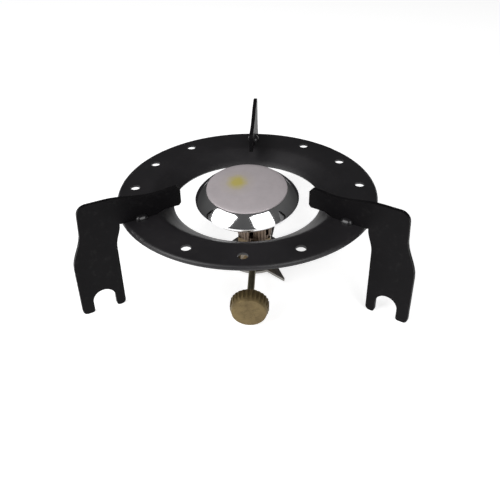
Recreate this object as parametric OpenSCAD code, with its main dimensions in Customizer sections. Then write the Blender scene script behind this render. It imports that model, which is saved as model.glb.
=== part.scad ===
// Cylinder-top propane burner with its three-legged pot stand.
// Floor level is z = 0 on the ring axis, +Z up, control knob towards -Y.
// The burner is a loose unit: it leans on its knob until it is screwed to a cylinder.

/* [Ring] */
// Outer radius of the pressed ring
ring_outer_r = 81; // [79:0.5:82]
// Radius of the centre opening
ring_inner_r = 46.3; // [44:0.1:48]
// Height of the flat flange above the floor
ring_top_z = 57.3; // [56:0.1:58.5]
// Thickness of the ring sheet
sheet_t = 1.6; // [1.2:0.1:1.8]
// Radius at which the flange bends down into the dish
dish_start_r = 59; // [57:0.5:62]
// Drop of the dish from flange to opening
dish_drop = 7.8; // [6:0.1:9]
// Bend radius between flange and dish
dish_bend_r = 8; // [5:0.5:10]
// Height of the turned-down outer rim
rim_drop = 2.6; // [2.4:0.1:5]
// Outer bend radius of the turned-down rim
rim_bend_r = 2; // [2:0.1:2.3]
// Diameter of the holes in the flange
vent_d = 6; // [5.6:0.1:7]
// Radius of the hole circle
vent_circle_r = 71; // [70:0.1:72]
// Angle between neighbouring holes between two legs
vent_step = 26.5; // [24:0.5:28]
// Turn of the hole pattern past the middle between two legs
vent_turn = 3.4; // [0:0.1:8]
// same turn of the front group, which sits a little nearer the middle
vent_front_turn = 1.6; // [0:0.1:8]

/* [Legs] */
// Plate thickness of the legs
leg_t = 2.5; // [1.6:0.1:3]
// Radius of the inner end of the pot rest
tip_r = 44.6; // [43:0.1:48]
// Height of the inner end of the pot rest
tip_z = 72.3; // [71:0.1:74]
// Radius of the dip in the pot rest
dip_r = 61; // [58:0.5:64]
// Height of the dip in the pot rest
dip_z = 71.3; // [70:0.1:72]
// Height of the outer shoulder of the pot rest
shoulder_z = 74.9; // [74:0.1:76]
// Radius at which the shoulder is fully up
shoulder_r = 90; // [86:0.5:94]
// Corner radius of the shoulder
shoulder_corner_r = 6; // [4:0.5:8]
// Radius of the outer edge at its waist
waist_r = 107.2; // [106.5:0.1:108]
// Height at which the outer edge starts to swell
waist_z = 58; // [54:0.5:60]
// Outer radius of the foot
foot_outer_r = 113.7; // [113:0.1:115]
// Height at which the foot reaches its full width
foot_full_z = 34; // [28:0.5:38]
// Inner radius of the foot
foot_inner_r = 86.6; // [85.5:0.1:87.5]
// Clear radius between the ring edge and the leg
ring_gap = 2.3; // [1.5:0.1:4]
// Height at which the inner edge starts to lean to the ring
neck_z = 43; // [40:0.5:48]
// Height of the underside of the inner end
arm_low_z = 59.7; // [59.2:0.1:60.5]
// Radius at which the arm comes down on the flange
arm_seat_r = 61; // [60:0.5:64]
// Width of the notch between the two prongs
notch_w = 14; // [13:0.1:15]
// Radius of the notch centre
notch_r = 99.3; // [99:0.1:100.5]
// Height of the notch arch
notch_h = 14.7; // [13:0.1:16]
// Radius of the rounded outer corners of the prongs
prong_r = 2.8; // [2:0.1:3.2]
// Radius of the prong corners beside the notch
prong_inner_r = 1.8; // [1:0.1:2.2]
// Radius of the weld beads
weld_r = 2.8; // [2:0.1:3]
// Length of each weld between its rounded ends
weld_l = 2.4; // [1.5:0.1:3]
// Radius at which the welds sit on the flange
weld_at_r = 70; // [69:0.1:72]

/* [Burner placing] */
// Lean of the loose burner towards its knob, 0 is upright
burner_lean = 6.4; // [0:0.1:6.4]
// Offset of the burner foot behind the ring axis
burner_y = 4.1; // [0:0.1:5]
// Sideways step from the burner head to the valve and tube below it
neck_x = 4.2; // [0:0.1:6]
// Height of the burner foot above the floor
burner_z = 1.35; // [1.35:0.05:3]

/* [Burner head] */
// Radius of the cap disc
disc_r = 25.2; // [24:0.1:26]
// Height of the cap disc edge above the burner foot
disc_h = 59; // [58.8:0.1:60]
// Rise of the domed cap disc
disc_rise = 1.6; // [1:0.1:2.5]
// Sheet thickness of the cap disc
disc_t = 1; // [0.8:0.1:1.2]
// Depth of the rim turned down on the cap disc
disc_skirt = 3; // [2.5:0.1:4]
// Outer radius of the bevelled trim ring
trim_r = 32.6; // [32.2:0.1:33]
// Height of the lower edge of the trim ring
trim_low_h = 50.6; // [50.4:0.1:51]
// Height of the straight skirt of the trim ring
trim_skirt = 1.3; // [1:0.1:2]
// Height of the upper edge of the trim ring
trim_top_h = 58.4; // [58.1:0.1:58.6]
// Bulge of the trim ring's bevel
trim_bulge = 0.3; // [0.2:0.1:1.2]
// Wall thickness of the trim ring
trim_t = 1; // [0.8:0.1:1.2]
// Outer radius of the flame port ring at its top
port_r = 32.1; // [31.8:0.1:32.1]
// Outer radius of the flame port ring at its foot
port_foot_r = 29.4; // [29:0.1:29.8]
// Inner radius of the flame port ring
port_inner_r = 27; // [25:0.5:27]
// Height of the flame port ring
port_h = 2.4; // [2.2:0.1:3]
// Width of one flame slot
port_slot_w = 1.2; // [0.8:0.1:1.4]
// Depth of one flame slot
port_slot_d = 1.4; // [1:0.1:1.6]
// Number of flame slots
port_count = 60; // [40:2:64]
// Wall thickness of the burner bowl
bowl_t = 1; // [0.8:0.1:1.2]
// Outer radius of the bowl's rim
bowl_r = 28.8; // [28.4:0.1:29]
// Radius of the bowl's flat floor
bowl_floor_r = 17.5; // [17:0.1:18.5]
// Height of the underside of the bowl's floor
bowl_low_h = 40; // [39.6:0.1:40.4]
// Length of the collar under the bowl
bowl_collar = 3.6; // [3:0.1:3.8]

/* [Mixing tube] */
// Outer radius of the mixing tube
tube_r = 8.25; // [8:0.05:8.5]
// Wall thickness of the mixing tube
tube_t = 1; // [0.8:0.1:1.2]
// Height of the top of the mixing tube
tube_top_h = 42; // [41:0.1:43.5]
// Number of air slots
air_count = 6; // [4:1:6]
// Width of one air slot
air_w = 2.6; // [2:0.1:3]
// Height of one air slot
air_h = 6; // [5:0.1:6.4]
// Height of the lower end of the air slots
air_low_h = 26.4; // [25.8:0.1:26.8]
// Outer radius of the air collar
collar_r = 11.2; // [9.6:0.1:11.6]
// Height of the air collar
collar_h = 10.8; // [10:0.1:11]
// Number of grip grooves on the air collar
collar_grooves = 30; // [24:6:30]
// Radius of one grip groove of the air collar
collar_groove_r = 0.45; // [0.3:0.05:0.5]
// Play of every turning fit
play = 0.05; // [0.03:0.01:0.08]

/* [Valve] */
// Width over flats of the valve body
body_af = 21; // [20:0.5:22]
// Height of the underside of the valve body
body_low_h = 11.4; // [11.4:0.1:11.6]
// Height of the shoulder of the valve body
body_top_h = 23.4; // [23.3:0.05:23.6]
// Height of the spindle axis
spindle_h = 17.5; // [17.5:0.1:17.6]
// Radius of the side boss of the valve body
boss_r = 5.6; // [5.4:0.1:5.6]
// Reach of the side boss from the burner axis
boss_l = 19; // [18.5:0.1:19.5]
// Width over flats of the gland nut
gland_af = 14; // [13.5:0.1:15]
// Distance of the gland nut's outer face from the burner axis
gland_l = 23; // [22.5:0.1:24]
// Radius of the bare spindle
spindle_r = 2.2; // [1.9:0.1:2.3]
// Radius of the threaded part of the spindle
spindle_thread_r = 3; // [2.8:0.1:3.1]
// Radius of the gas passage through the seat
seat_r = 1.4; // [1.3:0.1:1.5]
// Radius of the jet thread
jet_r = 3; // [2.8:0.1:3.2]
// Radius of the jet orifice
jet_hole_r = 0.3; // [0.25:0.05:0.4]

/* [Knob] */
// Largest radius of the knob
knob_r = 11.7; // [11:0.1:11.7]
// Radius of the knob's front face
knob_face_r = 10.3; // [9:0.1:10.6]
// Distance of the knob's front face from the burner axis
knob_face_l = 67.5; // [64:0.1:67.5]
// Thickness of the knob
knob_t = 9; // [8.4:0.1:10]
// Width of the knob's straight rim
knob_rim = 5; // [4:0.1:5]
// Number of grip grooves
knob_grooves = 28; // [20:2:30]
// Radius of one grip groove
knob_groove_r = 0.9; // [0.6:0.05:0.95]
// Radius of the grub screw
grub_r = 1.5; // [1.2:0.1:1.6]
// Length of the grub screw
grub_l = 5.5; // [4:0.1:6]

/* [Cylinder coupling] */
// Outer radius of the coupling nut
nut_r = 12; // [11.5:0.1:12]
// Radius of the nut's gas thread
nut_thread_r = 8.2; // [8.1:0.1:8.5]
// Length of the nut's gas thread
nut_thread_l = 4.7; // [4.2:0.1:4.8]
// Radius of the relief above the gas thread
nut_relief_r = 8.6; // [8.6:0.1:9.2]
// Height of the coupling nut
nut_h = 11.2; // [11:0.1:11.2]
// Radius of the inlet spigot's shank
spigot_r = 5.45; // [5:0.05:5.6]
// Radius of the inlet spigot's head
spigot_head_r = 7.8; // [7.4:0.1:7.8]
// Radius of the gas bore in the spigot
gas_bore_r = 1.5; // [1.2:0.1:1.8]
// Number of points of the star handwheel
star_points = 3; // [3:1:6]
// Tip radius of the star handwheel
star_r = 32.6; // [30:0.2:33]
// Radius of the round middle of the star handwheel
star_hub_r = 19.6; // [18:0.1:21]
// Width that the straight sides of one point would reach at the centre
star_point_w = 18; // [14:0.5:22]
// Thickness of the star handwheel
star_t = 2; // [1.6:0.1:2.4]
// Height of the star handwheel on the nut
star_h = 3.6; // [3.4:0.1:4.5]
// Turn of the star handwheel
star_turn = -52; // [-60:1:60]

/* [Hidden] */
$fn = 96;
// overlap used only where a cutter has to pass a face
cut = 1;
leg_angles = [90, 210, 330];
black_enamel = [0.09, 0.09, 0.1];
satin_steel = [0.68, 0.67, 0.68];
chrome = [0.85, 0.85, 0.87];
brass = [0.62, 0.53, 0.32];
dark_steel = [0.42, 0.42, 0.4];
seal_black = [0.05, 0.05, 0.05];
// dish geometry
dish_a = atan(dish_drop / (dish_start_r - ring_inner_r));
dish_tangent = dish_bend_r * tan(dish_a / 2);
dish_c = [dish_start_r + dish_tangent, ring_top_z - dish_bend_r];
// cap and trim geometry
cap_sphere_r = (disc_r * disc_r + disc_rise * disc_rise) / (2 * disc_rise);
trim_top_r = disc_r + 0.1;
bevel_run = trim_r - trim_top_r;
bevel_rise = trim_top_h - trim_low_h - trim_skirt;
bevel_len = norm([bevel_run, bevel_rise]);
port_low_h = trim_low_h - port_h;
// leg geometry
corner_c = [waist_r - shoulder_corner_r - 0.5, shoulder_z - shoulder_corner_r];
notch_arch_z = notch_h - notch_w / 2;
side_z = ring_top_z + 0.4;
// valve geometry, distances along the spindle from the burner axis
bore_start = 2.6;
bore_end = 16.5;
pack_r = 4;
needle_start = 8;
thread_end = 15;
spindle_end = knob_face_l - 2.5;
knob_back = knob_face_l - knob_t;
spigot_top = 13.4;
spigot_low = 6.5;
relief_top = 8.2;
washer_low = 5.2;
tube_seat_h = body_top_h + 2;
jet_low_h = 21;

function ease(a, b, t) = a + (b - a) * (1 - cos(180 * t)) / 2;
// Point on the bevel of the trim ring, t = 0 at the disc, moved inwards by depth
function bevel(t, depth) = [
    trim_top_r + bevel_run * t + bevel_rise / bevel_len * (4 * trim_bulge * t * (1 - t) - depth),
    trim_top_h - bevel_rise * t + bevel_run / bevel_len * (4 * trim_bulge * t * (1 - t) - depth)];
function arc(c, r, a0, a1, n) = [for (i = [0 : n])
    let (a = a0 + (a1 - a0) * i / n) [c[0] + r * cos(a), c[1] + r * sin(a)]];

// Part of a 2D ring between two angles that differ by less than 180
module ring_sector(c, r_in, r_out, a0, a1) {
    reach = 2 * r_out / cos((a1 - a0) / 2);
    intersection() {
        translate(c) difference() {
            circle(r_out);
            circle(r_in);
        }
        translate(c) polygon([[0, 0], [reach * cos(a0), reach * sin(a0)],
            [reach * cos((a0 + a1) / 2), reach * sin((a0 + a1) / 2)],
            [reach * cos(a1), reach * sin(a1)]]);
    }
}

module ring_profile() {
    translate([dish_c[0], ring_top_z - sheet_t])
        square([ring_outer_r - rim_bend_r - dish_c[0], sheet_t]);
    ring_sector(dish_c, dish_bend_r - sheet_t, dish_bend_r, 90, 90 + dish_a);
    ring_sector([ring_outer_r - rim_bend_r, ring_top_z - rim_bend_r],
        rim_bend_r - sheet_t, rim_bend_r, 0, 90);
    translate([ring_outer_r - sheet_t, ring_top_z - rim_drop])
        square([sheet_t, rim_drop - rim_bend_r]);
    // straight wall of the dish
    polygon([
        [dish_c[0] - dish_bend_r * sin(dish_a), dish_c[1] + dish_bend_r * cos(dish_a)],
        [ring_inner_r, ring_top_z - dish_drop],
        [ring_inner_r + sheet_t * sin(dish_a), ring_top_z - dish_drop - sheet_t * cos(dish_a)],
        [dish_c[0] - (dish_bend_r - sheet_t) * sin(dish_a),
            dish_c[1] + (dish_bend_r - sheet_t) * cos(dish_a)]]);
}

module vent_hole(angle) {
    rotate([0, 0, angle]) translate([vent_circle_r, 0, ring_top_z - sheet_t - cut])
        cylinder(d = vent_d, h = sheet_t + 2 * cut);
}

module drip_ring() {
    color(black_enamel) difference() {
        rotate_extrude() ring_profile();
        for (leg = leg_angles, step = [-1, 0, 1])
            vent_hole(leg + (leg == 210 ? vent_front_turn : vent_turn) + 60 + step * vent_step);
    }
}

leg_outline = concat(
    // inner end of the pot rest
    [[tip_r + 1.4, arm_low_z], [tip_r, arm_low_z + 1.6], [tip_r, tip_z - 2]],
    // wavy top edge
    [for (i = [0 : 5]) [tip_r + 1.8 + (dip_r - tip_r - 1.8) * i / 5, ease(tip_z, dip_z, i / 5)]],
    [for (i = [1 : 8]) [dip_r + (shoulder_r - dip_r) * i / 8, ease(dip_z, shoulder_z, i / 8)]],
    arc(corner_c, shoulder_corner_r, 90, 5, 7),
    // outer edge swelling into the foot
    [for (i = [0 : 8]) [ease(waist_r, foot_outer_r, i / 8), waist_z + (foot_full_z - waist_z) * i / 8]],
    arc([foot_outer_r - prong_r, prong_r], prong_r, 0, -90, 5),
    // inner edge of the foot, up to the ring
    arc([foot_inner_r + prong_r, prong_r], prong_r, 270, 180, 5),
    [for (i = [0 : 6]) [ease(foot_inner_r, ring_outer_r + ring_gap, i / 6),
        neck_z + (side_z - neck_z) * i / 6]],
    // seat on the flange
    [[ring_outer_r + ring_gap - 0.6, ring_top_z], [arm_seat_r, ring_top_z],
        [arm_seat_r - 6, arm_low_z]]);

// What has to go from a sharp prong corner at the origin to leave it rounded
module notch_corner() {
    difference() {
        translate([-cut, -cut]) square(prong_inner_r + cut);
        translate([prong_inner_r, prong_inner_r]) circle(prong_inner_r);
    }
}

module leg_plate() {
    difference() {
        polygon(leg_outline);
        translate([notch_r, notch_arch_z]) circle(d = notch_w);
        translate([notch_r - notch_w / 2, -cut]) square([notch_w, notch_arch_z + cut]);
        for (side = [-1, 1]) translate([notch_r + side * notch_w / 2, 0]) scale([side, 1]) notch_corner();
    }
}

module leg(angle) {
    color(black_enamel) rotate([0, 0, angle]) rotate([90, 0, 0])
        linear_extrude(height = leg_t, center = true) leg_plate();
}

// Quarter-round fillet with ball ends, lying along +X in the corner at y = 0, z = 0
module weld_bead() {
    intersection() {
        union() {
            rotate([0, 90, 0]) cylinder(r = weld_r, h = weld_l);
            sphere(weld_r);
            translate([weld_l, 0, 0]) sphere(weld_r);
        }
        translate([-weld_r - cut, 0, 0])
            cube([weld_l + 2 * (weld_r + cut), weld_r + cut, weld_r + cut]);
    }
}

module leg_welds() {
    color(black_enamel) for (leg = leg_angles, side = [0, 1])
        rotate([0, 0, leg]) mirror([0, side, 0])
            translate([weld_at_r - weld_l / 2, leg_t / 2, ring_top_z]) weld_bead();
}

// Carries the burner's own upright frame to where the loose burner stands
module burner_place() {
    translate([0, burner_y, burner_z]) rotate([burner_lean, 0, 0]) children();
}

// The tube, the valve and the inlet stand beside the axis of the head
module valve_place() {
    burner_place() translate([neck_x, 0, 0]) children();
}

// Turns +Z into the direction of the spindle
module on_spindle() {
    valve_place() translate([0, 0, spindle_h]) rotate([90, 0, 0]) children();
}

module hexagon(af, h) {
    cylinder(d = af / cos(30), h = h, $fn = 6);
}

module burner_disc() {
    color(satin_steel) burner_place() {
        translate([0, 0, disc_h]) rotate_extrude() {
            intersection() {
                translate([0, disc_rise - cap_sphere_r]) difference() {
                    circle(cap_sphere_r);
                    circle(cap_sphere_r - disc_t);
                }
                translate([0, -disc_t]) square([disc_r, disc_t + disc_rise + cut]);
            }
            translate([disc_r - disc_t, -disc_skirt]) square([disc_t, disc_skirt]);
        }
    }
}

module trim_ring() {
    color(chrome) burner_place() rotate_extrude() polygon(concat(
        [for (i = [0 : 8]) bevel(i / 8, 0)],
        [[trim_r, trim_low_h], [trim_r - trim_t, trim_low_h]],
        [for (i = [7 : -1 : 1]) bevel(i / 8, trim_t)],
        [[trim_top_r, bevel(1 / 8, trim_t)[1]]]));
}

module port_ring() {
    color(brass) burner_place() difference() {
        translate([0, 0, port_low_h]) cylinder(r1 = port_foot_r, r2 = port_r, h = port_h);
        translate([0, 0, port_low_h - cut]) cylinder(r = port_inner_r, h = port_h + 2 * cut);
        for (i = [0 : port_count - 1])
            rotate([0, 0, i * 360 / port_count])
                translate([port_inner_r - cut, -port_slot_w / 2, trim_low_h - port_slot_d])
                    cube([port_r - port_inner_r + 2 * cut, port_slot_w, port_slot_d + cut]);
    }
}

module burner_bowl() {
    color(dark_steel) burner_place() difference() {
        union() {
            rotate_extrude() polygon([
                [0, bowl_low_h], [bowl_floor_r, bowl_low_h], [bowl_r, port_low_h - 1.4],
                [bowl_r, port_low_h], [bowl_r - bowl_t, port_low_h],
                [bowl_r - bowl_t, port_low_h - 0.9], [bowl_floor_r - 0.3, bowl_low_h + bowl_t],
                [0, bowl_low_h + bowl_t]]);
            translate([neck_x, 0, bowl_low_h - bowl_collar])
                cylinder(r = tube_r + bowl_t, h = bowl_collar + bowl_t / 2);
        }
        translate([neck_x, 0, bowl_low_h - bowl_collar - cut])
            cylinder(r = tube_r, h = bowl_collar + bowl_t + 2 * cut);
    }
}

module air_slots(reach) {
    for (i = [0 : air_count - 1])
        rotate([0, 0, 262 + i * 360 / air_count])
            translate([tube_r - tube_t - cut, -air_w / 2, air_low_h])
                cube([reach, air_w, air_h]);
}

module mixing_tube() {
    color(satin_steel) valve_place() difference() {
        translate([0, 0, body_top_h]) cylinder(r = tube_r, h = tube_top_h - body_top_h);
        translate([0, 0, body_top_h - cut])
            cylinder(r = tube_r - tube_t, h = tube_top_h - body_top_h + 2 * cut);
        air_slots(tube_t + 2 * cut);
    }
}

module air_collar() {
    collar_low = body_top_h + 0.3;
    color(brass) valve_place() difference() {
        translate([0, 0, collar_low]) cylinder(r = collar_r, h = collar_h);
        translate([0, 0, collar_low - cut]) cylinder(r = tube_r + play, h = collar_h + 2 * cut);
        air_slots(collar_r);
        for (i = [0 : collar_grooves - 1])
            rotate([0, 0, 262 + (i + 0.5) * 360 / collar_grooves])
                translate([collar_r, 0, collar_low - cut])
                    cylinder(r = collar_groove_r, h = collar_h + 2 * cut);
    }
}

module gas_jet() {
    color(brass) valve_place() difference() {
        union() {
            translate([0, 0, jet_low_h]) cylinder(r = jet_r, h = tube_seat_h - jet_low_h);
            translate([0, 0, tube_seat_h]) hexagon(8, 2.5);
            translate([0, 0, tube_seat_h + 2.5]) cylinder(r1 = 2.4, r2 = 1.6, h = 3);
        }
        translate([0, 0, jet_low_h - cut]) cylinder(r = 1.2, h = 7);
        translate([0, 0, jet_low_h]) cylinder(r = jet_hole_r, h = 14);
    }
}

module valve_body() {
    color(brass) difference() {
        union() {
            valve_place() {
                translate([0, 0, body_low_h]) rotate([0, 0, 30])
                    hexagon(body_af, body_top_h - body_low_h);
                translate([0, 0, body_top_h])
                    cylinder(r = tube_r - tube_t, h = tube_seat_h - body_top_h);
            }
            on_spindle() cylinder(r = boss_r, h = boss_l);
        }
        valve_place() {
            translate([0, 0, body_low_h - cut])
                cylinder(r = spigot_r, h = spigot_top - body_low_h + cut);
            translate([0, 0, spindle_h]) cylinder(r = 1, h = tube_seat_h - spindle_h + cut);
            translate([0, 0, jet_low_h]) cylinder(r = jet_r, h = tube_seat_h - jet_low_h + cut);
            // slanting gas drilling from the inlet to the needle chamber
            translate([0, 0, spigot_top - cut]) rotate([62, 0, 0]) cylinder(r = 1, h = 6);
        }
        on_spindle() {
            cylinder(r = seat_r, h = bore_start + cut);
            translate([0, 0, bore_start])
                cylinder(r = spindle_thread_r + play, h = bore_end - bore_start + cut);
            translate([0, 0, bore_end]) cylinder(r = pack_r, h = boss_l - bore_end + cut);
        }
    }
}

module gland_nut() {
    wall = boss_l + 0.2;
    color(brass) on_spindle() difference() {
        translate([0, 0, bore_end - 1.5]) hexagon(gland_af, gland_l - bore_end + 1.5);
        translate([0, 0, bore_end - 1.5 - cut]) cylinder(r = boss_r, h = wall - bore_end + 1.5 + cut);
        cylinder(r = spindle_r + play, h = gland_l + cut);
    }
}

module gland_packing() {
    color(seal_black) on_spindle() difference() {
        translate([0, 0, bore_end]) cylinder(r = pack_r, h = boss_l + 0.2 - bore_end);
        cylinder(r = spindle_r + play, h = gland_l);
    }
}

module needle() {
    color(satin_steel) on_spindle() {
        translate([0, 0, 1.4]) cylinder(r1 = 0.3, r2 = 1.05, h = 3.4);
        translate([0, 0, 4.8]) cylinder(r = 1.9, h = needle_start - 4.8);
        translate([0, 0, needle_start]) cylinder(r = 1.2, h = 3);
    }
}

module spindle() {
    color(dark_steel) on_spindle() difference() {
        union() {
            translate([0, 0, needle_start]) cylinder(r = spindle_thread_r, h = thread_end - needle_start);
            translate([0, 0, thread_end]) cylinder(r = spindle_r, h = spindle_end - thread_end);
        }
        translate([0, 0, needle_start - cut]) cylinder(r = 1.2 + play, h = 3.2 + cut);
    }
}

module knob() {
    color(brass) on_spindle() difference() {
        union() {
            translate([0, 0, knob_back]) cylinder(r1 = knob_r - 0.6, r2 = knob_r, h = 0.6);
            translate([0, 0, knob_back + 0.6]) cylinder(r = knob_r, h = knob_rim - 0.6);
            translate([0, 0, knob_back + knob_rim])
                cylinder(r1 = knob_r, r2 = knob_face_r, h = knob_t - knob_rim);
        }
        translate([0, 0, knob_back - cut]) cylinder(r = spindle_r, h = spindle_end - knob_back + cut);
        for (i = [0 : knob_grooves - 1])
            rotate([0, 0, i * 360 / knob_grooves]) translate([knob_r + 0.1, 0, knob_back - cut])
                cylinder(r = knob_groove_r, h = knob_t + 2 * cut);
        translate([0, 0, knob_back + 2]) rotate([90, 0, 0]) cylinder(r = grub_r, h = knob_r + cut);
    }
}

module knob_screw() {
    color(dark_steel) on_spindle() translate([0, -spindle_r, knob_back + 2]) rotate([90, 0, 0])
        difference() {
            cylinder(r = grub_r, h = grub_l);
            translate([0, 0, grub_l - 1.5]) hexagon(1.5, 1.5 + cut);
        }
}

module inlet_spigot() {
    color(brass) valve_place() difference() {
        union() {
            translate([0, 0, spigot_low]) cylinder(r = spigot_head_r, h = relief_top - 0.2 - spigot_low);
            translate([0, 0, spigot_low]) cylinder(r = spigot_r, h = spigot_top - spigot_low);
        }
        translate([0, 0, spigot_low - cut]) cylinder(r = gas_bore_r, h = spigot_top - spigot_low + 2 * cut);
    }
}

module inlet_washer() {
    color(seal_black) valve_place() translate([0, 0, washer_low]) difference() {
        cylinder(r = spigot_head_r - 0.2, h = spigot_low - washer_low);
        translate([0, 0, -cut]) cylinder(r = 3, h = spigot_low - washer_low + 2 * cut);
    }
}

module inlet_filter() {
    color(dark_steel) valve_place() translate([0, 0, spigot_low + 2])
        cylinder(r = gas_bore_r, h = 2.4);
}

module coupling_nut() {
    color(brass) valve_place() difference() {
        union() {
            cylinder(r = nut_r, h = nut_h - 1);
            translate([0, 0, nut_h - 1]) cylinder(r1 = nut_r, r2 = nut_r - 1, h = 1);
        }
        translate([0, 0, -cut]) cylinder(r = nut_thread_r, h = nut_thread_l + 2 * cut);
        translate([0, 0, nut_thread_l]) cylinder(r = nut_relief_r, h = relief_top - nut_thread_l);
        cylinder(r = spigot_r + play, h = nut_h + cut);
    }
}

// A round plate with pointed tips; every tip is 0.8 mm wide at its end
module star_shape() {
    circle(star_hub_r);
    for (i = [0 : star_points - 1]) rotate(i * 360 / star_points) polygon([
        [0, -star_point_w / 2], [star_r, -0.4], [star_r, 0.4], [0, star_point_w / 2]]);
}

module star_wheel() {
    color(dark_steel) valve_place() translate([0, 0, star_h]) rotate([0, 0, star_turn])
        linear_extrude(height = star_t) difference() {
            star_shape();
            circle(nut_r);
        }
}

drip_ring();
leg(leg_angles[1]);  // leg_left
leg(leg_angles[2]);  // leg_right
leg(leg_angles[0]);  // leg_rear
leg_welds();
burner_disc();
trim_ring();
port_ring();
burner_bowl();
mixing_tube();
air_collar();
gas_jet();
valve_body();
gland_nut();
gland_packing();
needle();
spindle();
knob();
knob_screw();
inlet_spigot();
inlet_washer();
inlet_filter();
coupling_nut();
star_wheel();
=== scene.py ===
import math

import bpy
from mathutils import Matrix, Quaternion, Vector


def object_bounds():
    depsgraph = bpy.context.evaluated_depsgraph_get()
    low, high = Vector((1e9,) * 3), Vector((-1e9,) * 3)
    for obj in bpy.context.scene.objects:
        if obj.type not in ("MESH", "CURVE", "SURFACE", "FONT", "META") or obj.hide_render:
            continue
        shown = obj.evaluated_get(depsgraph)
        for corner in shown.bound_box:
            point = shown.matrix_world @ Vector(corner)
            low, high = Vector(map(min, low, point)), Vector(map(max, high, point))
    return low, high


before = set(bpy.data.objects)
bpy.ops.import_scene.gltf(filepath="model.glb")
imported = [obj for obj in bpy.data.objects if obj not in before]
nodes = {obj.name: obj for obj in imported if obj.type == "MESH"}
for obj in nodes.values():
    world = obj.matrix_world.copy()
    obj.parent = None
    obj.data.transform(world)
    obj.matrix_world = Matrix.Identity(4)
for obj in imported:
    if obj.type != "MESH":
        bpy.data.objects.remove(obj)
cad_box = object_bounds()

MM = 0.001
# where the loose burner stands: its foot, its lean towards the knob, the sideways step
# of its lower part, and the height of its spindle
BURNER_LEAN = math.radians(6.4)
BURNER_FOOT = (0.0, 0.0041, 0.00135)
NECK_STEP = 0.0042
SPINDLE_HEIGHT = 0.0175


# ---------------------------------------------------------------- node helpers
class Shader:
    """A small builder for one material's node tree."""

    def __init__(self, name):
        self.mat = bpy.data.materials.new(name)
        self.mat.use_nodes = True
        self.tree = self.mat.node_tree
        self.bsdf = self.tree.nodes["Principled BSDF"]

    def add(self, kind, **values):
        n = self.tree.nodes.new(kind)
        for key, value in values.items():
            setattr(n, key, value)
        return n

    def link(self, a, b):
        self.tree.links.new(a, b)

    def feed(self, node, socket, value):
        """value is a socket or a constant."""
        if isinstance(value, bpy.types.NodeSocket):
            self.link(value, node.inputs[socket])
        elif value is not None:
            node.inputs[socket].default_value = value

    def set(self, **values):
        for key, value in values.items():
            self.feed(self.bsdf, key.replace("_", " "), value)

    def place(self):
        return self.add("ShaderNodeTexCoord").outputs["Object"]

    def head_frame(self, step=0.0):
        """Object coordinates turned into the burner's own upright frame."""
        m = self.add("ShaderNodeMapping", vector_type="TEXTURE")
        self.link(self.place(), m.inputs["Vector"])
        foot_x, foot_y, foot_z = BURNER_FOOT
        m.inputs["Location"].default_value = (foot_x + step, foot_y, foot_z)
        m.inputs["Rotation"].default_value = (BURNER_LEAN, 0, 0)
        return m.outputs["Vector"]

    def valve_frame(self):
        """The same frame on the axis of the tube, the valve and the inlet."""
        return self.head_frame(NECK_STEP)

    def spindle_frame(self):
        """A frame whose Z runs along the spindle, with its origin on the spindle's axis."""
        m = self.add("ShaderNodeMapping", vector_type="TEXTURE")
        self.link(self.place(), m.inputs["Vector"])
        m.inputs["Location"].default_value = (
            NECK_STEP,
            BURNER_FOOT[1] - SPINDLE_HEIGHT * math.sin(BURNER_LEAN),
            BURNER_FOOT[2] + SPINDLE_HEIGHT * math.cos(BURNER_LEAN))
        m.inputs["Rotation"].default_value = (BURNER_LEAN + math.pi / 2, 0, 0)
        return m.outputs["Vector"]

    def scaled(self, vector, scale):
        m = self.add("ShaderNodeMapping")
        self.link(vector, m.inputs["Vector"])
        m.inputs["Scale"].default_value = scale
        return m.outputs["Vector"]

    def noise(self, vector, scale, detail=3.0, rough=0.5):
        n = self.add("ShaderNodeTexNoise")
        self.link(vector, n.inputs["Vector"])
        n.inputs["Scale"].default_value = scale
        n.inputs["Detail"].default_value = detail
        n.inputs["Roughness"].default_value = rough
        return n.outputs["Fac"]

    def ramp(self, fac, low, high, a=0.0, b=1.0):
        m = self.add("ShaderNodeMapRange")
        self.link(fac, m.inputs["Value"])
        for key, value in (("From Min", low), ("From Max", high), ("To Min", a), ("To Max", b)):
            m.inputs[key].default_value = value
        return m.outputs["Result"]

    def mix(self, fac, a, b):
        """Blends two colours; 0, 6 and 7 are the node's factor and colour inputs."""
        m = self.add("ShaderNodeMix", data_type="RGBA")
        self.feed(m, 0, fac)
        for socket, colour in ((6, a), (7, b)):
            self.feed(m, socket, colour if isinstance(colour, bpy.types.NodeSocket) else (*colour, 1))
        return m.outputs[2]

    def math(self, op, a, b=None):
        m = self.add("ShaderNodeMath", operation=op)
        self.feed(m, 0, a)
        self.feed(m, 1, b)
        return m.outputs[0]

    def radius_height(self, vector):
        """Distance from the frame's Z axis, and height along it."""
        split = self.add("ShaderNodeSeparateXYZ")
        self.link(vector, split.inputs[0])
        x, y, z = split.outputs
        square = self.math("ADD", self.math("MULTIPLY", x, x), self.math("MULTIPLY", y, y))
        return self.math("SQRT", square), z

    def bump(self, height, strength, distance, normal=None):
        b = self.add("ShaderNodeBump")
        self.link(height, b.inputs["Height"])
        b.inputs["Strength"].default_value = strength
        b.inputs["Distance"].default_value = distance
        if normal is not None:
            self.link(normal, b.inputs["Normal"])
        return b.outputs["Normal"]


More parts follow.
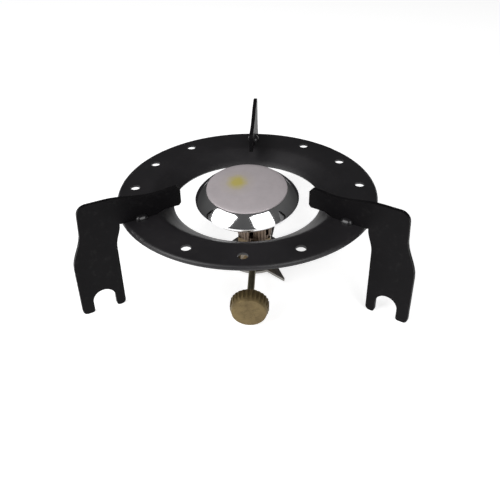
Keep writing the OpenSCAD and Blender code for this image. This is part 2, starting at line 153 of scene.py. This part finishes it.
def enamel(name, tone, shine, rough=0.36):
    """Satin black stove enamel: fine orange peel, dull patches, a little dust."""
    s = Shader(name)
    p = s.place()
    cloud = s.noise(p, 28, 4, 0.6)
    grain = s.noise(p, 2600, 2, 0.5)
    peel = s.noise(p, 620, 2, 0.5)
    dust = s.ramp(s.noise(p, 240, 5, 0.65), 0.56, 0.72)
    dark = (tone, tone * 0.93, tone * 1.05)
    pale = (tone * 1.7, tone * 1.55, tone * 1.75)
    base = s.mix(s.ramp(cloud, 0.3, 0.7), dark, pale)
    base = s.mix(s.math("MULTIPLY", dust, 0.12), base, (0.05, 0.048, 0.047))
    s.set(Base_Color=base, Metallic=0.0, Specular_IOR_Level=shine)
    mixed = s.math("ADD", s.math("MULTIPLY", cloud, 0.7), s.math("MULTIPLY", peel, 0.3))
    s.set(Roughness=s.ramp(mixed, 0.3, 0.7, rough, rough + 0.14))
    n = s.bump(peel, 0.22, 0.0001)
    s.set(Normal=s.bump(grain, 0.25, 0.00003, n))
    return s.mat


def turned_metal(name, colour, dark, rough, pitch, depth,
                 frame_of=Shader.valve_frame, painted_reflection=None, wear=0.0, metal=1.0):
    """Metal with fine turning marks round an axis, clouds of patina and small scratches."""
    s = Shader(name)
    v = frame_of(s)
    r, z = s.radius_height(v)
    p = s.place()
    lines = s.math("SINE", s.math("MULTIPLY", s.math("ADD", r, z), 2 * math.pi / pitch))
    wander = s.noise(p, 90, 4, 0.6)
    fine = s.noise(p, 1500, 3, 0.6)
    base = s.mix(s.ramp(wander, 0.35, 0.7), colour, dark)
    if wear:
        spots = s.ramp(s.noise(p, 420, 5, 0.65), 0.5, 0.68)
        base = s.mix(s.math("MULTIPLY", spots, wear), base, tuple(c * 0.4 for c in dark))
    # an optional painted reflection laid over the metal's own colour
    if painted_reflection:
        base = painted_reflection(s, v, base)
    s.set(Base_Color=base, Metallic=metal)
    mixed = s.math("ADD", s.math("MULTIPLY", wander, 0.6), s.math("MULTIPLY", fine, 0.4))
    s.set(Roughness=s.ramp(mixed, 0.3, 0.7, rough * 0.8, rough * 1.25))
    n = s.bump(lines, 0.5, depth)
    s.set(Normal=s.bump(fine, 0.2, 0.00002, n))
    return s.mat


def warm_lamp_reflection(s, v, base):
    """A painted reflection of a warm lamp: a straw-coloured spot with a pale halo, off centre on the
    cap.
    """
    stretch = (1, 0.85, 0)
    centre = (-0.0062, 0.0032, 0)
    ragged = 0.0015
    m = s.add("ShaderNodeVectorMath", operation="DISTANCE")
    s.link(s.scaled(v, stretch), m.inputs[0])
    m.inputs[1].default_value = centre
    shift = s.ramp(s.noise(v, 300, 3, 0.5), 0.0, 1.0, -ragged, ragged)
    d = s.math("ADD", m.outputs["Value"], shift)
    # painted reflection: a pale halo, then a straw-coloured spot at its middle
    base = s.mix(s.ramp(d, 0.0125, 0.004, 0.0, 0.3), base, (0.6, 0.52, 0.36))
    return s.mix(s.ramp(d, 0.0075, 0.0025, 0.0, 0.9), base, (0.6, 0.51, 0.12))


# name, tone, shine, roughness
RING_BLACK = enamel("ring_enamel", 0.008, 0.42)
LEG_BLACK = enamel("leg_enamel", 0.0038, 0.06)
WELD_BLACK = enamel("weld_enamel", 0.006, 0.5, 0.2)

# name, colour, darker colour, roughness, pitch and depth of the turning marks in metres
DISC = turned_metal("satin_disc", (0.58, 0.53, 0.545), (0.51, 0.465, 0.48), 0.42, 0.0006, 0.000006,
                    # the cap gets a painted reflection of a warm lamp, off centre
                    frame_of=Shader.head_frame, painted_reflection=warm_lamp_reflection, metal=0.4)
CHROME = turned_metal("chrome_bevel", (0.86, 0.86, 0.87), (0.76, 0.76, 0.77), 0.07, 0.0012, 0.000012,
                      frame_of=Shader.head_frame)
PORT = turned_metal("port_steel", (0.22, 0.2, 0.18), (0.12, 0.1, 0.09), 0.34, 0.0005, 0.00001,
                    frame_of=Shader.head_frame, wear=0.4)
BOWL = turned_metal("bowl_steel", (0.22, 0.2, 0.19), (0.12, 0.1, 0.095), 0.42, 0.0012, 0.00001,
                    frame_of=Shader.head_frame, wear=0.4)
TUBE = turned_metal("tube_steel", (0.26, 0.23, 0.21), (0.15, 0.12, 0.11), 0.34, 0.0008, 0.000008,
                    wear=0.3)
COLLAR = turned_metal("collar_brass", (0.2, 0.152, 0.118), (0.125, 0.09, 0.066), 0.4, 0.0009, 0.000008,
                      wear=0.5)
VALVE = turned_metal("valve_brass", (0.22, 0.165, 0.1), (0.13, 0.095, 0.055), 0.36, 0.0007, 0.000008,
                     wear=0.4)
KNOB = turned_metal("knob_brass", (0.185, 0.136, 0.06), (0.132, 0.095, 0.044), 0.55, 0.0008, 0.00001,
                    frame_of=Shader.spindle_frame, wear=0.35, metal=0.75)
SPINDLE = turned_metal("spindle_steel", (0.2, 0.185, 0.125), (0.12, 0.11, 0.075), 0.38, 0.0006, 0.000008,
                       frame_of=Shader.spindle_frame)
STAR = turned_metal("star_steel", (0.32, 0.31, 0.29), (0.22, 0.21, 0.2), 0.4, 0.003, 0.000006,
                    wear=0.3)
NUT = turned_metal("nut_brass", (0.34, 0.26, 0.13), (0.2, 0.145, 0.07), 0.32, 0.0007, 0.000008,
                   wear=0.3)


def rubber(name):
    """Matt black rubber with a fine grain."""
    s = Shader(name)
    grain = s.noise(s.place(), 1800, 3, 0.6)
    s.set(Base_Color=s.mix(grain, (0.012, 0.012, 0.012), (0.03, 0.03, 0.03)), Metallic=0.0)
    s.set(Roughness=s.ramp(grain, 0.2, 0.8, 0.6, 0.8), Normal=s.bump(grain, 0.3, 0.00003))
    return s.mat


SEAL = rubber("seal_rubber")

# finish and edge rounding in mm of every CAD node
FINISH = {
    "drip_ring": (RING_BLACK, 0.25), "leg_welds": (WELD_BLACK, 0),
    "leg_left": (LEG_BLACK, 0.35), "leg_right": (LEG_BLACK, 0.35), "leg_rear": (LEG_BLACK, 0.35),
    "burner_disc": (DISC, 0.2), "trim_ring": (CHROME, 0.15), "port_ring": (PORT, 0.08),
    "burner_bowl": (BOWL, 0.15), "mixing_tube": (TUBE, 0.1), "air_collar": (COLLAR, 0.12),
    "gas_jet": (VALVE, 0.1), "valve_body": (VALVE, 0.3), "gland_nut": (VALVE, 0.25),
    "gland_packing": (SEAL, 0), "needle": (SPINDLE, 0), "spindle": (SPINDLE, 0.15),
    "knob": (KNOB, 0.2), "knob_screw": (SPINDLE, 0.1), "inlet_spigot": (VALVE, 0.15),
    "inlet_washer": (SEAL, 0.1), "inlet_filter": (SPINDLE, 0), "coupling_nut": (NUT, 0.3),
    "star_wheel": (STAR, 0.25),
}


def round_edges(o, width):
    """Breaks the sharp edges, so that they catch the light as real ones do."""
    weld = o.modifiers.new("weld", "WELD")
    weld.merge_threshold = 0.00001
    edge = o.modifiers.new("edge", "BEVEL")
    edge.width = width * MM
    edge.segments = 2
    edge.limit_method = "ANGLE"
    edge.angle_limit = math.radians(38)
    edge.use_clamp_overlap = True


for name, (material, rounding) in FINISH.items():
    o = nodes[name]
    if not o.material_slots:
        o.data.materials.append(material)
    for slot in o.material_slots:
        slot.link = "OBJECT"
        slot.material = material
    if rounding:
        round_edges(o, rounding)


# ---------------------------------------------------------------- stage
def softbox(name, spot, width, height, power):
    """A rectangular soft light aimed at the burner."""
    data = bpy.data.lights.new(name, "AREA")
    data.shape = "RECTANGLE"
    data.size = width
    data.size_y = height
    data.energy = power
    o = bpy.data.objects.new(name, data)
    bpy.context.scene.collection.objects.link(o)
    o.location = spot
    o.rotation_euler = (LIT_POINT - Vector(spot)).to_track_quat("-Z", "Y").to_euler()


def floor(half, gap):
    """A white light table under the part, half its side to each side."""
    z = min(0.0, cad_box[0].z) - gap
    corners = [(-half, -half, z), (half, -half, z), (half, half, z), (-half, half, z)]
    mesh = bpy.data.meshes.new("floor")
    mesh.from_pydata(corners, [], [(0, 1, 2, 3)])
    o = bpy.data.objects.new("floor", mesh)
    bpy.context.scene.collection.objects.link(o)
    s = Shader("floor_light_table")
    s.set(Base_Color=(0.68, 0.68, 0.68, 1), Roughness=0.9, Specular_IOR_Level=0.05)
    s.set(Emission_Color=(1, 1, 1, 1), Emission_Strength=0.7)
    s.set(Normal=s.bump(s.noise(s.place(), 300, 3, 0.5), 0.05, 0.0002))
    mesh.materials.append(s.mat)


def studio_sky(low, high, start, end):
    """A dim room: strength low at the horizon, rising to high between two heights of the sky."""
    world = bpy.data.worlds.new("studio")
    world.use_nodes = True
    tree = world.node_tree
    sky = tree.nodes["Background"]
    place = tree.nodes.new("ShaderNodeTexCoord")
    split = tree.nodes.new("ShaderNodeSeparateXYZ")
    fade = tree.nodes.new("ShaderNodeMapRange")
    fade.interpolation_type = "SMOOTHSTEP"
    tree.links.new(place.outputs["Generated"], split.inputs[0])
    tree.links.new(split.outputs["Z"], fade.inputs["Value"])
    for key, value in (("From Min", start), ("From Max", end), ("To Min", low), ("To Max", high)):
        fade.inputs[key].default_value = value
    tree.links.new(fade.outputs["Result"], sky.inputs["Strength"])
    sky.inputs["Color"].default_value = (1, 1, 1, 1)
    bpy.context.scene.world = world


LIT_POINT = Vector((0, 0, 0.04))
floor(half=6.0, gap=0.0002)
studio_sky(low=0.05, high=0.1, start=0.1, end=0.7)
softbox("box_left", (-0.70, -0.42, 0.66), width=0.72, height=0.85, power=10.5)
softbox("box_right", (0.52, -0.62, 0.70), width=0.64, height=0.85, power=6.2)
bpy.context.scene.view_settings.view_transform = "Standard"

# ---------------------------------------------------------------- camera
# the camera looks at a point near the foot of the burner from the knob's side
CAM_TURN = math.radians(4.0)
CAM_UP = math.radians(35.455)
CAM_ROLL = math.radians(-1.112)
CAM_DIST = 0.4460
CAM_SHIFT = 0.001
CAM_AIM_HEIGHT = 0.0105
CAM_SENSOR = 36
CAM_LENS = 48.1212

aim = Vector((CAM_SHIFT * math.cos(CAM_TURN), CAM_SHIFT * math.sin(CAM_TURN), CAM_AIM_HEIGHT))
back = Vector((math.sin(CAM_TURN) * math.cos(CAM_UP),
               -math.cos(CAM_TURN) * math.cos(CAM_UP),
               math.sin(CAM_UP)))
cam_data = bpy.data.cameras.new("camera")
cam_data.sensor_width = CAM_SENSOR
cam_data.lens = CAM_LENS
cam_data.clip_start = 0.01
camera = bpy.data.objects.new("camera", cam_data)
bpy.context.scene.collection.objects.link(camera)
camera.location = aim + CAM_DIST * back
camera.rotation_mode = "QUATERNION"
camera.rotation_quaternion = (-back).to_track_quat("-Z", "Y")
camera.rotation_quaternion @= Quaternion((0, 0, 1), CAM_ROLL)
bpy.context.scene.camera = camera
